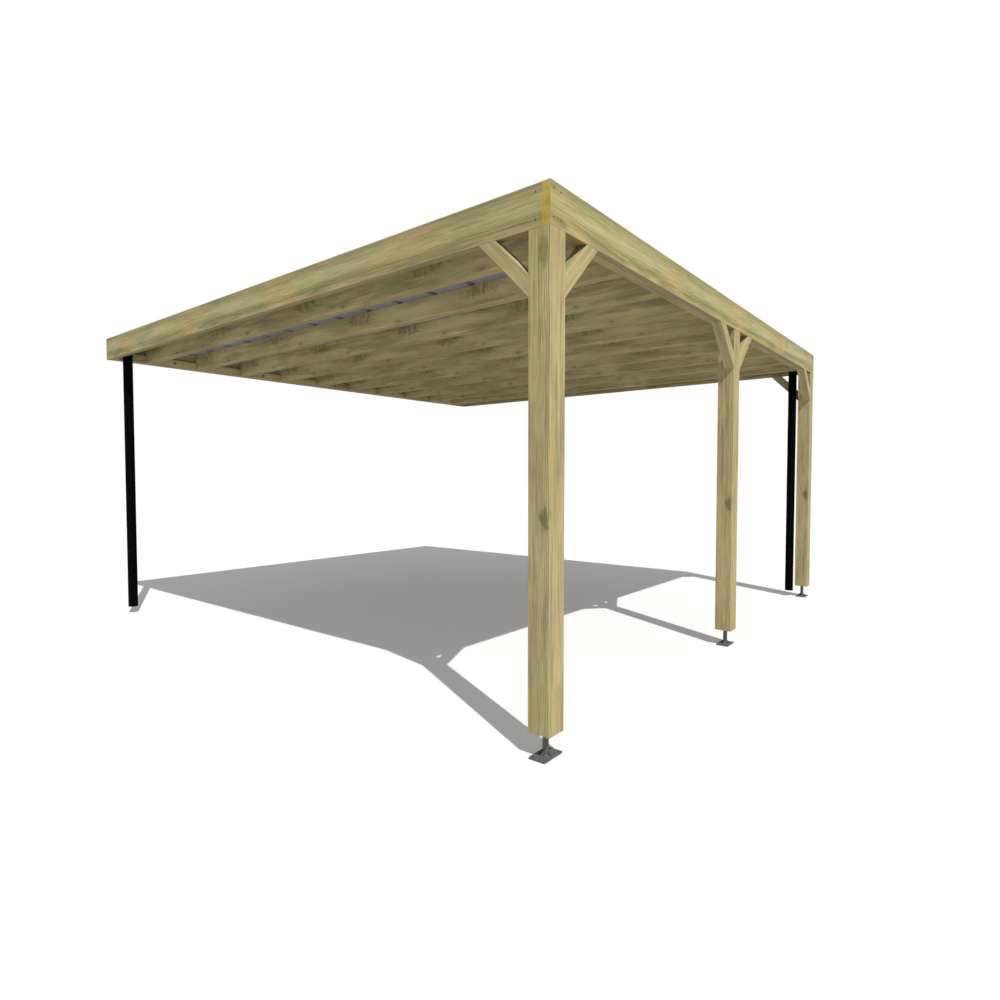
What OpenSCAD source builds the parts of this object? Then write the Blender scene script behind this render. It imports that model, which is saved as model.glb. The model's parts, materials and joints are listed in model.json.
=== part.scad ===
// Wall-mounted carport: three posts in front, a ring of boards, joists and a ribbed steel roof.
// Everything is drawn in site coordinates, X from the left face, Y from the front face and
// Z from the ground, and is then moved so that the origin is the middle of the wall board's
// back face. +Y points into the wall and +Z is up.

/* [Overall] */
// Width along the wall, over the side boards
carport_w = 5000; // [4000:10:6500]
// Depth from the front face to the wall
carport_d = 5000; // [4000:10:6500]
// Height from the ground to the underside of the boards
clear_h = 2380; // [1900:10:3000]

/* [Boards and battens] */
// Height of the boards around the roof
board_h = 195; // [160:1:250]
// Thickness of the boards around the roof
board_t = 45; // [35:1:60]
// Height of the battens that carry the joist ends
batten_h = 72; // [50:1:90]
// Thickness of the battens that carry the joist ends
batten_t = 45; // [30:1:60]
// Chamfer along the long edges of the sawn timber
ease = 2; // [1:0.5:5]

/* [Joists] */
// Height of a joist
joist_h = 145; // [120:1:158]
// Thickness of a joist
joist_t = 60; // [40:1:80]
// From the outer side face to the middle of the first joist
joist_edge = 340; // [300:5:420]

/* [Posts and braces] */
// Side of the square posts
post_w = 120; // [90:1:150]
// Gap between the ground and the end of a post
post_gap = 115; // [60:1:200]
// How far a corner post's tongue stays below the top of the boards
tongue_drop = 15; // [5:1:40]
// Thickness and width of a knee brace
brace_w = 70; // [45:1:90]
// From the corner to the lower edge of a knee brace, along the post and along the board
brace_leg = 290; // [220:5:400]

/* [Feet] */
// Length of a base plate, along the front
plate_x = 150; // [120:1:200]
// Width of a base plate
plate_y = 90; // [80:1:150]
// Thickness of a base plate
plate_t = 8; // [5:1:12]
// Corner radius of a base plate
plate_r = 6; // [2:1:12]
// Diameter of the rod that holds a post
rod_d = 30; // [20:1:40]
// How far the rod stands in the post
rod_in = 100; // [60:5:150]
// Leg of a gusset between rod and plate
gusset_leg = 25; // [15:1:30]
// Thickness of a gusset
gusset_t = 5; // [3:1:8]
// Diameter of an anchor hole in a base plate
anchor_d = 11; // [8:0.5:14]
// From the edges of a base plate to the middle of an anchor hole
anchor_in = 15; // [11:1:20]

/* [Wall bolts] */
// Diameter of the bolt holes through the wall board
bolt_d = 12; // [8:0.5:16]
// From the underside of the wall board up to the lower row of holes
bolt_low = 36; // [25:1:60]
// From the lower row of holes up to the upper row
bolt_rise = 86; // [60:1:90]

/* [Roof sheets] */
// Thickness of the roof sheet
sheet_t = 2; // [1:0.5:3]
// Height of a rib, inside
rib_h = 33; // [20:1:34]
// Width of a rib across its feet
rib_foot = 60; // [50:1:110]
// Width of a rib across its top
rib_crown = 30; // [20:1:40]
// From the inside of the ring to the middle of the first rib
rib_edge = 68; // [60:1:120]
// How far the sheets reach over a gutter
drip = 40; // [20:1:60]

/* [Rainwater] */
// Width of a gutter
gutter_w = 140; // [100:1:180]
// Height of a gutter
gutter_h = 70; // [40:1:80]
// Thickness of the gutter's steel
gutter_t = 2; // [1:0.5:3]
// Outer diameter of a downpipe
pipe_d = 80; // [60:1:100]
// Wall thickness of a downpipe
pipe_t = 2; // [1.5:0.5:4]
// Gap between a post and its downpipe; the one at the wall stands as far from the corner
pipe_gap = 17; // [10:1:200]
// Gap between the ground and the end of a downpipe
pipe_lift = 60; // [0:5:300]

/* [Hidden] */

joist_count = 10;
sheet_count = 5;
sheet_ribs = 3;
fit_gap = 2;      // room that the steelwork has between timbers
rod_gap = 0.5;    // room between a rod and its bore
outlet_gap = 1;   // rim of a gutter outlet that shows around the bore of its downpipe
past = 1;         // how far a cutter runs past the face it cuts

wall_z = clear_h + board_h / 2;
inner_w = carport_w - 2 * board_t;
inner_d = carport_d - 2 * board_t;
joist_top = clear_h + joist_h;
joist_pitch = (carport_w - 2 * joist_edge) / (joist_count - 1);
brace_inner = brace_leg - brace_w * sqrt(2);
bolt_pitch = 2 * joist_pitch;

rib_count = sheet_count * sheet_ribs;
rib_pitch = (inner_d - 2 * rib_edge) / (rib_count - 1);
rib_run = (rib_foot - rib_crown) / 2;
flank = sqrt(rib_run * rib_run + rib_h * rib_h);
skin = sheet_t * (flank - rib_run) / rib_h;   // sideways thickness of a rib's flank
toe = skin + sheet_t * rib_run / rib_h;       // reach of a flank's outer line at the pan
sheet_x = board_t + gutter_w - drip;

gutter_top = joist_top - fit_gap;
gutter_floor = gutter_top - gutter_h;
gutter_start = post_w + fit_gap;
sheet_end = carport_d - board_t - fit_gap;
// A gutter that hangs lower than the top of the wall batten ends in front of it
gutter_end = sheet_end - (gutter_floor < clear_h + batten_h ? batten_t : 0);
pipe_x = board_t + gutter_w / 2;
pipe_setback = post_w + pipe_gap + pipe_d / 2;
pipe_bore = pipe_d / 2 - pipe_t;

timber = "#b3a86f";
shade_timber = "#8f8455";
zinc = "#7d8084";
sheet_steel = "#74767c";
pipe_black = "#17181a";

$fn = 64;

// Moves site coordinates so that the origin is the middle of the wall board's back face
module in_place() {
    translate([-carport_w / 2, -carport_d, -wall_z]) children();
}

// Draws the left-hand children as they are, or their mirror image on the right
module on_side(right) {
    translate([right ? carport_w : 0, 0, 0]) mirror([right ? 1 : 0, 0, 0]) children();
}

// Rectangle with chamfered corners, the section of a sawn timber
module eased(a, b) {
    polygon([
        [ease, 0], [a - ease, 0], [a, ease], [a, b - ease],
        [a - ease, b], [ease, b], [0, b - ease], [0, ease]
    ]);
}

// Timber lying along X
module along_x(length, depth, height) {
    rotate([90, 0, 90]) linear_extrude(length) eased(depth, height);
}

// Timber lying along Y
module along_y(width, length, height) {
    translate([0, length, 0]) rotate([90, 0, 0]) linear_extrude(length) eased(width, height);
}

// Timber standing on end
module along_z(width, depth, height) {
    linear_extrude(height) eased(width, depth);
}

module front_fascia() {
    color(timber) in_place()
        translate([0, 0, clear_h]) along_x(carport_w, board_t, board_h);
}

module side_fascia(right) {
    color(timber) in_place() on_side(right)
        translate([0, board_t, clear_h]) along_y(board_t, carport_d - board_t, board_h);
}

// Five pairs of holes, each pair in the middle of a bay between joists
module bolt_holes() {
    for (column = [-2 : 2], row = [0, 1])
        translate([
            carport_w / 2 + column * bolt_pitch,
            carport_d + past,
            clear_h + bolt_low + row * bolt_rise
        ])
            rotate([90, 0, 0]) cylinder(h = board_t + batten_t + 2 * past, d = bolt_d);
}

module wall_board() {
    color(timber) in_place() difference() {
        translate([board_t, carport_d - board_t, clear_h]) along_x(inner_w, board_t, board_h);
        bolt_holes();
    }
}

module front_batten(right) {
    color(shade_timber) in_place() on_side(right)
        translate([post_w, board_t, clear_h])
            along_x((carport_w - 3 * post_w) / 2, batten_t, batten_h);
}

module wall_batten() {
    color(shade_timber) in_place() difference() {
        translate([board_t, carport_d - board_t - batten_t, clear_h])
            along_x(inner_w, batten_t, batten_h);
        bolt_holes();
    }
}

// A joist, cut away at both ends where it sits on a batten
module joist(number) {
    color(shade_timber) in_place()
        translate([joist_edge + (number - 1) * joist_pitch - joist_t / 2, board_t, clear_h])
            difference() {
                along_y(joist_t, inner_d, joist_h);
                for (y = [-past, inner_d - batten_t])
                    translate([-past, y, -past])
                        cube([joist_t + 2 * past, batten_t + past, batten_h + past]);
            }
}

// Blind hole in the end of a post for the rod of its foot
module rod_bore() {
    translate([post_w / 2, post_w / 2, post_gap - past])
        cylinder(h = rod_in + past, d = rod_d + 2 * rod_gap);
}

// A corner post: its tongue stands in the corner behind both boards
module corner_post(right) {
    tongue_top = clear_h + board_h - tongue_drop;
    color(timber) in_place() on_side(right) difference() {
        translate([0, 0, post_gap]) along_z(post_w, post_w, tongue_top - post_gap);
        translate([-past, -past, clear_h]) cube([post_w + 2 * past, board_t + past, board_h]);
        translate([-past, -past, clear_h]) cube([board_t + past, post_w + 2 * past, board_h]);
        rod_bore();
    }
}

// The middle post: its tongue stands behind the front board and under the roof sheet
module middle_post() {
    color(timber) in_place() translate([(carport_w - post_w) / 2, 0, 0]) difference() {
        translate([0, 0, post_gap]) along_z(post_w, post_w, joist_top - post_gap);
        translate([-past, -past, clear_h]) cube([post_w + 2 * past, board_t + past, board_h]);
        rod_bore();
    }
}

// Base plate, four gussets and the rod that reaches up into the post
module foot(x) {
    hole_x = plate_x / 2 - anchor_in;
    hole_y = plate_y / 2 - anchor_in;
    color(zinc) in_place() translate([x, post_w / 2, 0]) {
        difference() {
            linear_extrude(plate_t) rounded_plate();
            for (sx = [-1, 1], sy = [-1, 1])
                translate([sx * hole_x, sy * hole_y, -past])
                    cylinder(h = plate_t + 2 * past, d = anchor_d);
        }
        cylinder(h = post_gap + rod_in, d = rod_d);
        for (turn = [0 : 90 : 270]) rotate(turn) gusset();
    }
}

module rounded_plate() {
    square([plate_x - 2 * plate_r, plate_y], center = true);
    square([plate_x, plate_y - 2 * plate_r], center = true);
    for (sx = [-1, 1], sy = [-1, 1])
        translate([sx * (plate_x / 2 - plate_r), sy * (plate_y / 2 - plate_r)]) circle(plate_r);
}

module gusset() {
    root = rod_d / 4;   // a gusset starts inside the rod
    reach = rod_d / 2 - root + gusset_leg;
    translate([root, gusset_t / 2, plate_t]) rotate([90, 0, 0]) linear_extrude(gusset_t)
        polygon([[0, 0], [reach, 0], [rod_d / 2 - root, gusset_leg], [0, gusset_leg]]);
}

// Knee brace in the corner between a post's face (X = 0) and a board's underside (Z = 0)
module brace() {
    translate([0, brace_w, 0]) rotate([90, 0, 0]) linear_extrude(brace_w)
        polygon([[0, -brace_leg], [0, -brace_inner], [brace_inner, 0], [brace_leg, 0]]);
}

// Brace from a corner post along the front board
module front_brace(right) {
    color(timber) in_place() on_side(right) translate([post_w, 0, clear_h]) brace();
}

// Brace from a corner post along the side board
module side_brace(right) {
    color(timber) in_place() on_side(right)
        translate([brace_w, post_w, clear_h]) rotate(90) brace();
}

// Brace from the middle post along the front board
module middle_brace(right) {
    color(timber) in_place() on_side(right)
        translate([(carport_w - post_w) / 2, 0, clear_h]) mirror([1, 0, 0]) brace();
}

function rib_y(i) = board_t + rib_edge + i * rib_pitch;

// Underside of a rib, from foot to foot
function rib_under(y) = [
    [y - rib_foot / 2, 0], [y - rib_crown / 2, rib_h],
    [y + rib_crown / 2, rib_h], [y + rib_foot / 2, 0]
];

// Top side of the same rib, from its far foot back to its near one
function rib_over(y) = [
    [y + rib_foot / 2 + skin, sheet_t], [y + rib_crown / 2 + skin, rib_h + sheet_t],
    [y - rib_crown / 2 - skin, rib_h + sheet_t], [y - rib_foot / 2 - skin, sheet_t]
];

// Lower and upper outline of the lap that lies on the next sheet's first rib
function lap_under(y) = [
    [y - rib_foot / 2 - toe, 0], [y - rib_crown / 2 - skin, rib_h + sheet_t],
    [y + rib_crown / 2, rib_h + sheet_t]
];
function lap_over(y) = [
    [y + rib_crown / 2, rib_h + 2 * sheet_t], [y - rib_crown / 2 - 2 * skin, rib_h + 2 * sheet_t],
    [y - rib_foot / 2 - toe - skin, sheet_t]
];

// Top corners of all ribs of a sheet. Under a lap the sheet starts at its first rib's foot, so
// that rib gives up its last corner
function upper_side(first, last, is_first) = [
    for (i = [last : -1 : first], corner = [0 : 3])
        if (is_first || i > first || corner < 3) rib_over(rib_y(i))[corner]
];

// Section of one roof sheet: pans, ribs, and a lap over the next sheet
function sheet_outline(first, last, is_first, is_last) = concat(
    is_first ? [[board_t + fit_gap, 0]] : [[rib_y(first) - rib_foot / 2 - toe, 0]],
    [for (i = [first : last], p = rib_under(rib_y(i))) p],
    is_last ? [[sheet_end, 0], [sheet_end, sheet_t]]
            : concat(lap_under(rib_y(last + 1)), lap_over(rib_y(last + 1))),
    upper_side(first, last, is_first),
    is_first ? [[board_t + fit_gap, sheet_t]] : []
);

// Ribbed steel sheet, its ribs running along X from gutter to gutter
module roof_sheet(number) {
    first = (number - 1) * sheet_ribs;
    color(sheet_steel) in_place() translate([sheet_x, 0, joist_top]) rotate([90, 0, 90])
        linear_extrude(carport_w - 2 * sheet_x)
            polygon(sheet_outline(first, first + sheet_ribs - 1, number == 1, number == sheet_count));
}

// Box gutter along a side board. The left one drains at the wall, the right one at the front
module gutter(right) {
    length = gutter_end - gutter_start;
    color(zinc) in_place() on_side(right) difference() {
        translate([board_t, gutter_start, gutter_floor]) cube([gutter_w, length, gutter_h]);
        translate([board_t + gutter_t, gutter_start + gutter_t, gutter_floor + gutter_t])
            cube([gutter_w - 2 * gutter_t, length - 2 * gutter_t, gutter_h]);
        translate([pipe_x, pipe_y(right), gutter_floor - past])
            cylinder(h = gutter_t + 2 * past, r = pipe_bore + outlet_gap);
    }
}

function pipe_y(right) = right ? pipe_setback : carport_d - pipe_setback;

module downpipe(right) {
    color(pipe_black) in_place() on_side(right)
        translate([pipe_x, pipe_y(right), pipe_lift]) difference() {
            cylinder(h = gutter_floor - pipe_lift, d = pipe_d);
            translate([0, 0, -past])
                cylinder(h = gutter_floor - pipe_lift + 2 * past, r = pipe_bore);
        }
}

front_fascia();
side_fascia(false);  // left_fascia
side_fascia(true);  // right_fascia
wall_board();
front_batten(false);  // front_batten_left
front_batten(true);  // front_batten_right
wall_batten();
joist(1);  // joist_01
joist(2);  // joist_02
joist(3);  // joist_03
joist(4);  // joist_04
joist(5);  // joist_05
joist(6);  // joist_06
joist(7);  // joist_07
joist(8);  // joist_08
joist(9);  // joist_09
joist(10);  // joist_10
corner_post(false);  // post_left
middle_post();  // post_middle
corner_post(true);  // post_right
foot(post_w / 2);  // foot_left
foot(carport_w / 2);  // foot_middle
foot(carport_w - post_w / 2);  // foot_right
side_brace(false);  // brace_left_side
front_brace(false);  // brace_left_front
middle_brace(false);  // brace_middle_left
middle_brace(true);  // brace_middle_right
front_brace(true);  // brace_right_front
side_brace(true);  // brace_right_side
roof_sheet(1);  // roof_sheet_1
roof_sheet(2);  // roof_sheet_2
roof_sheet(3);  // roof_sheet_3
roof_sheet(4);  // roof_sheet_4
roof_sheet(5);  // roof_sheet_5
gutter(false);  // gutter_left
gutter(true);  // gutter_right
downpipe(false);  // downpipe_left
downpipe(true);  // downpipe_right
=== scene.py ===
# %% [markdown]
# # A timber carport against a wall
#
# The sizes of this carport come finished from a CAD model: posts, boards, joists, steel feet,
# roof sheets, gutters and pipes. This notebook gives that model its looks. It rounds the edges
# of every timber, grows pine figure and knots through them, adds the screws, bolts and welds
# that hold the real thing together, and gives it plain studio light.
#
# Blender works in metres here. X runs along the wall, Y points into the wall and Z points up.
# The origin is the middle of the wall board's back face, so the ground lies at a negative Z.

# %% Load the finished model
import json
import math

import bmesh
import bpy
from mathutils import Matrix, Vector


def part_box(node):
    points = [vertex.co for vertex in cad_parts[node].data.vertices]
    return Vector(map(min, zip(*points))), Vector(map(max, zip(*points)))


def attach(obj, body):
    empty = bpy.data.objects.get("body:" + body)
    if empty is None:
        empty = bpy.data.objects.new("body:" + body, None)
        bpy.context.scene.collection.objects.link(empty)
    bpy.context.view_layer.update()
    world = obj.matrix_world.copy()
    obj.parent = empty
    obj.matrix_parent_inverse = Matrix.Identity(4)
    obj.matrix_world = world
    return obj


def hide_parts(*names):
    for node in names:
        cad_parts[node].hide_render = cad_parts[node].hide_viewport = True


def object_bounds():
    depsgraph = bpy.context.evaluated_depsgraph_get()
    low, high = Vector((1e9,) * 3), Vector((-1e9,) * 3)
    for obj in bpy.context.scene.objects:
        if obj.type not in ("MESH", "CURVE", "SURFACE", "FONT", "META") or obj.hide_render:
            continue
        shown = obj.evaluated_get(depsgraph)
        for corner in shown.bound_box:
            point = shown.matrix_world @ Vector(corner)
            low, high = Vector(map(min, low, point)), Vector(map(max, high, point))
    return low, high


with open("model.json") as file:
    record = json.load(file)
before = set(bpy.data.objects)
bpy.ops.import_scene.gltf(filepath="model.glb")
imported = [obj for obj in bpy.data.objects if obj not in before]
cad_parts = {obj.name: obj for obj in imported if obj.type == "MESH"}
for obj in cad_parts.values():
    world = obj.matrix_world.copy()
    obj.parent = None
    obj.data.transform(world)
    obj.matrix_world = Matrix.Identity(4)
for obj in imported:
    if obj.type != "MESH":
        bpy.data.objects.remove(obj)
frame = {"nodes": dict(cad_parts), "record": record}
cad_low, cad_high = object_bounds()
nodes = frame["nodes"]
ground = cad_low.z
left_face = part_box("left_fascia")[0].x
front_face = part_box("front_fascia")[0].y
print("CAD pieces:", len(nodes), "box from", tuple(cad_low), "to", tuple(cad_high))

# %% [markdown]
# ## Camera
#
# The viewer stands left of the near corner, at the height of a sitting person, and looks along
# the diagonal with a wide lens. A wide lens close by makes the near post tall and the far
# corner small. The upright edges stay nearly parallel, because the camera hardly tilts.
#
# A camera can be dragged into place by hand, but then nobody knows later why it stands there.
# Here it is placed by six named values, measured from the near corner of the carport. It would
# follow a change of size, and each value can be tried on its own.

# %% Camera
STAND_LEFT = 2.2576      # from the left face outwards
STAND_FRONT = 1.5213     # from the front face outwards
EYE_HEIGHT = 1.2862      # above the ground
HEADING = 0.67364        # radians from +X towards +Y
DOWNWARD = 0.03789       # radians below the horizon
LENS = 22.2156           # millimetres, on a sensor 36 mm wide

camera_data = bpy.data.cameras.new("camera")
camera_data.lens = LENS
camera_data.sensor_width = 36.0
camera = bpy.data.objects.new("camera", camera_data)
bpy.context.scene.collection.objects.link(camera)
camera.location = (left_face - STAND_LEFT, front_face - STAND_FRONT, ground + EYE_HEIGHT)
looking = Vector((
    math.cos(HEADING) * math.cos(DOWNWARD),
    math.sin(HEADING) * math.cos(DOWNWARD),
    -math.sin(DOWNWARD),
))
camera.rotation_euler = looking.to_track_quat("-Z", "Y").to_euler()
bpy.context.scene.camera = camera
bpy.context.scene.view_settings.view_transform = "Standard"
print("camera at", tuple(round(c, 3) for c in camera.location))

# %% [markdown]
# ## Helpers for shader nodes
#
# A procedural material is a small program made of nodes. Writing each node out in full takes
# four or five lines, so these helpers make a node, fill in its sockets and hand back its
# output. A socket gets a link when the value is another node's output, and a number or a
# colour when it isn't.

# %% Helpers: make a node
def add_node(tree, kind, inputs=None, **settings):
    made = tree.nodes.new(kind)
    for name, value in settings.items():
        setattr(made, name, value)
    for name, value in (inputs or {}).items():
        plug(tree, made.inputs[name], value)
    return made


def plug(tree, socket, value):
    if isinstance(value, bpy.types.NodeSocket):
        tree.links.new(value, socket)
    else:
        socket.default_value = value


print("add_node makes a node, plug fills one of its sockets")

# %% [markdown]
# ## Helpers that calculate
#
# Most of a wood shader is plain arithmetic, done for each point of a surface. `calc` works on
# numbers and `vector_calc` on directions and places. `fade` turns a value into a soft mask, a
# smooth step between two limits, which stands for every edge of a stain. `noise` gives uneven
# patches. Its stretch says how often it changes along each axis, so a low number along the
# grain and a high one across it make fibres.

# %% Helpers: calculate
def calc(tree, operation, *values):
    made = tree.nodes.new("ShaderNodeMath")
    made.operation = operation
    for socket, value in zip(made.inputs, values):
        plug(tree, socket, value)
    return made.outputs[0]


def vector_calc(tree, operation, *values):
    made = tree.nodes.new("ShaderNodeVectorMath")
    made.operation = operation
    for socket, value in zip(made.inputs, values):
        plug(tree, socket, value)
    return made.outputs["Value" if operation in ("LENGTH", "DOT_PRODUCT") else "Vector"]


def fade(tree, value, start, end, low=0.0, high=1.0):
    """A soft step from low to high while value goes from start to end."""
    made = add_node(tree, "ShaderNodeMapRange", interpolation_type="SMOOTHSTEP")
    for socket, number in zip(made.inputs, (value, start, end, low, high)):
        plug(tree, socket, number)
    return made.outputs["Result"]


def noise(tree, vector, stretch, detail=2.0, roughness=0.5):
    """Noise that is squeezed along each axis by stretch, in turns per metre."""
    squeezed = vector_calc(tree, "MULTIPLY", vector, stretch)
    made = add_node(tree, "ShaderNodeTexNoise",
                    {"Vector": squeezed, "Scale": 1.0, "Detail": detail, "Roughness": roughness})
    return made.outputs[0]


print("calc, vector_calc, fade and noise each hand back one output")

# %% [markdown]
# ## Helpers for colours
#
# A finish is built up in layers: a base colour, then stains, wear and dust over it, each with
# a mask that says how much of it shows. `blend_colour` lays one colour over another and
# `colour_ramp` turns a value into a colour.
#
# Colours are written from 0 to 255 as a paint shop would give them. Shaders calculate with
# light, where half as bright is half the number, so `rgb` converts them.

# %% Helpers: colours
def blend_colour(tree, share, first, second, how="MIX"):
    made = add_node(tree, "ShaderNodeMix", data_type="RGBA", blend_type=how)
    plug(tree, made.inputs[0], share)
    plug(tree, made.inputs[6], first)
    plug(tree, made.inputs[7], second)
    return made.outputs[2]


def colour_ramp(tree, value, stops):
    made = add_node(tree, "ShaderNodeValToRGB", {"Fac": value})
    points = made.color_ramp.elements
    while len(points) < len(stops):
        points.new(1.0)
    for point, (place, colour) in zip(points, stops):
        point.position = place
        point.color = colour
    return made.outputs["Color"]


def rgb(red, green, blue):
    """A screen colour from 0 to 255 as the linear colour that shaders take."""
    def linear(value):
        share = value / 255
        return share / 12.92 if share <= 0.04045 else ((share + 0.055) / 1.055) ** 2.4
    return (linear(red), linear(green), linear(blue), 1.0)


print("a mid grey of 128 is", round(rgb(128, 128, 128)[0], 3), "in linear light")

# %% [markdown]
# ## Helpers for node groups
#
# A node group is the shader's version of a function. It is made once and then placed in each
# material with that material's own values, so a change to the grain reaches every timber.
# Copying the nodes into every material would work too, but then each change has to be made
# several times.

# %% Helpers: node groups
def new_group(name, inputs, outputs):
    """An empty shader node group with named sockets, and its two end nodes."""
    tree = bpy.data.node_groups.new(name, "ShaderNodeTree")
    for label, kind, value in inputs:
        socket = tree.interface.new_socket(label, in_out="INPUT", socket_type="NodeSocket" + kind)
        if value is not None:
            socket.default_value = value
    for label, kind in outputs:
        tree.interface.new_socket(label, in_out="OUTPUT", socket_type="NodeSocket" + kind)
    return tree, tree.nodes.new("NodeGroupInput").outputs, tree.nodes.new("NodeGroupOutput").inputs


def use_group(tree, group, inputs):
    made = tree.nodes.new("ShaderNodeGroup")
    made.node_tree = group
    for name, value in inputs.items():
        plug(tree, made.inputs[name], value)
    return made.outputs


print("new_group makes a group, use_group places it in a material")

# %% [markdown]
# ## What a timber tells its material
#
# Wood figure runs along a timber, whichever way the timber points. A shader doesn't know that
# direction, so each timber carries three attributes on its vertices: where a point lies along,
# across and through the timber, how large the timber is, and a number of its own that makes
# its knots and stains differ from its neighbour's. Faces are flat, so the values between the
# corners come out exact even on a face five metres long.
#
# A second way is to use Blender's own object coordinates. They work for one upright post, but
# the braces lean, and all the knots would fall in the same places on every joist.

# %% Read a timber's attributes
def timber_sockets(tree):
    """The three attributes that each timber carries."""
    names = {"Grain": ("grain", "Vector"), "Half size": ("half_size", "Vector"),
             "Board": ("board", "Fac")}
    return {label: add_node(tree, "ShaderNodeAttribute", attribute_name=name).outputs[socket]
            for label, (name, socket) in names.items()}


print("each timber will carry the attributes grain, half_size and board")

# %% [markdown]
# ## Pine figure: the distance from the heart
#
# Growth rings are long cones round the heart, the tree's middle. A board is a slice through
# them, so a ring shows as a line along the board, and as an arch where the tree was not quite
# straight. The first thing to know is how far a point lies from a heart that wanders a little.
# Drawn lines would be quicker, but only a solid figure turns the corner from face to edge to
# end as in real wood.

# %% Pine figure: distance from the heart
WANDER = (0.0, 0.05, 0.04)       # metres that the heart strays sideways
ACROSS_GRAIN = (0.0, 1.0, 1.0)   # leaves out the part along the grain


def heart_distance(tree, given, place):
    squeezed = vector_calc(tree, "MULTIPLY", place, (0.8, 2.5, 2.5))
    wander = add_node(tree, "ShaderNodeTexNoise",
                      {"Vector": squeezed, "Scale": 1.0, "Detail": 1.0}).outputs["Color"]
    bent = vector_calc(tree, "MULTIPLY_ADD", wander, WANDER, given["Grain"])
    from_heart = vector_calc(tree, "SUBTRACT", bent, given["Heart"])
    across = vector_calc(tree, "MULTIPLY", from_heart, ACROSS_GRAIN)
    return vector_calc(tree, "LENGTH", across)


print("the heart strays by up to", max(WANDER), "m")

# %% [markdown]
# ## Pine figure: knots
#
# A knot is the foot of a branch that the trunk has grown around, and the rings swerve around
# it. Here the knots come from stretched cells. Each cell has a shade of its own by chance, and
# the input "Knottiness" says how many of the shades count as a knot. Two masks go out: the
# knot itself and the wider swirl around it.

# %% Pine figure: knots
def knot_masks(tree, given, place):
    stretched = vector_calc(tree, "MULTIPLY", place, (3.0, 8.5, 8.5))
    cells = add_node(tree, "ShaderNodeTexVoronoi",
                     {"Vector": stretched, "Scale": 1.0}).outputs
    draw = add_node(tree, "ShaderNodeSeparateColor", {"Color": cells["Color"]}).outputs["Red"]
    chosen = calc(tree, "LESS_THAN", draw, given["Knottiness"])
    distance = cells["Distance"]
    knot = calc(tree, "MULTIPLY", chosen, fade(tree, distance, 0.07, 0.16, 1.0, 0.0))
    swirl = calc(tree, "MULTIPLY", chosen, fade(tree, distance, 0.08, 0.42, 1.0, 0.0))
    return knot, swirl


print("a knot can lie in each cell of", round(1 / 3.0, 2), "by", round(1 / 8.5, 2), "m")

# %% [markdown]
# ## Pine figure: the group
#
# The distance from the heart is divided by the gap between two rings. What remains after the
# point says how far into a year's growth a place lies. Wood darkens slowly in late summer and
# growth stops in winter, so a line fades in and ends sharply. Fibres and streaks are noise
# that is stretched along the grain.

# %% Group: pine figure
def make_pine_figure():
    tree, given, out = new_group(
        "Pine figure",
        [("Grain", "Vector", None), ("Board", "Float", 0.0), ("Ring gap", "Float", 0.006),
         ("Heart", "Vector", (0.0, -0.05, -0.08)), ("Knottiness", "Float", 0.2)],
        [("Growth line", "Float"), ("Fibre", "Float"), ("Streak", "Float"), ("Knot", "Float"),
         ("Swirl", "Float")])
    number = calc(tree, "MULTIPLY", given["Board"], 5.3)
    shift = add_node(tree, "ShaderNodeCombineXYZ", {"X": number})
    place = vector_calc(tree, "ADD", given["Grain"], shift.outputs[0])
    knot, swirl = knot_masks(tree, given, place)
    rings = calc(tree, "DIVIDE", heart_distance(tree, given, place), given["Ring gap"])
    rings = calc(tree, "ADD", rings, calc(tree, "MULTIPLY", swirl, 2.6))
    rings = calc(tree, "ADD", rings, calc(tree, "MULTIPLY", noise(tree, place, (3, 30, 30)), 0.8))
    part = calc(tree, "FRACT", rings)
    darkening = fade(tree, part, 0.30, 0.80)
    winter = fade(tree, part, 0.86, 1.0, 1.0, 0.0)
    plug(tree, out["Growth line"], calc(tree, "MULTIPLY", darkening, winter))
    plug(tree, out["Fibre"], noise(tree, place, (9, 300, 300), 3.0, 0.6))
    plug(tree, out["Streak"], noise(tree, place, (2.6, 75, 75), 4.0, 0.6))
    plug(tree, out["Knot"], knot)
    plug(tree, out["Swirl"], swirl)
    return tree


pine_figure = make_pine_figure()
print(pine_figure.name, "gives", [s.name for s in pine_figure.interface.items_tree
                                  if s.in_out == "OUTPUT"])

# %% [markdown]
# ## Board edges
#
# Sawn edges are where hands, ladders and rain touch a board first, so they turn paler. The
# group works out how near a point is to an edge from its place and the timber's size. Only a
# point that is near the limit in both directions across the grain lies on an edge. It also
# gives the height up the board, from 0 at the bottom to 1 at the top.

# %% Group: board edges
def make_board_edges():
    tree, given, out = new_group(
        "Board edges", [("Grain", "Vector", None), ("Half size", "Vector", None),
                        ("Width", "Float", 0.006)],
        [("Edge", "Float"), ("Rise", "Float")])
    room = vector_calc(tree, "SUBTRACT", given["Half size"],
                       vector_calc(tree, "ABSOLUTE", given["Grain"]))
    room = add_node(tree, "ShaderNodeSeparateXYZ", {"Vector": room}).outputs
    uneven = noise(tree, given["Grain"], (14, 60, 60), 2.0)
    reach = calc(tree, "MULTIPLY", given["Width"], calc(tree, "ADD", uneven, 0.5))
    near = [fade(tree, room[axis], 0.0, reach, 1.0, 0.0) for axis in ("Y", "Z")]
    plug(tree, out["Edge"], calc(tree, "MULTIPLY", *near))
    place = add_node(tree, "ShaderNodeSeparateXYZ", {"Vector": given["Grain"]}).outputs["Y"]
    size = add_node(tree, "ShaderNodeSeparateXYZ", {"Vector": given["Half size"]}).outputs["Y"]
    plug(tree, out["Rise"], calc(tree, "MULTIPLY_ADD", calc(tree, "DIVIDE", place, size), 0.5, 0.5))
    return tree


board_edges = make_board_edges()
print(board_edges.name, "made with", len(board_edges.nodes), "nodes")

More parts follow.
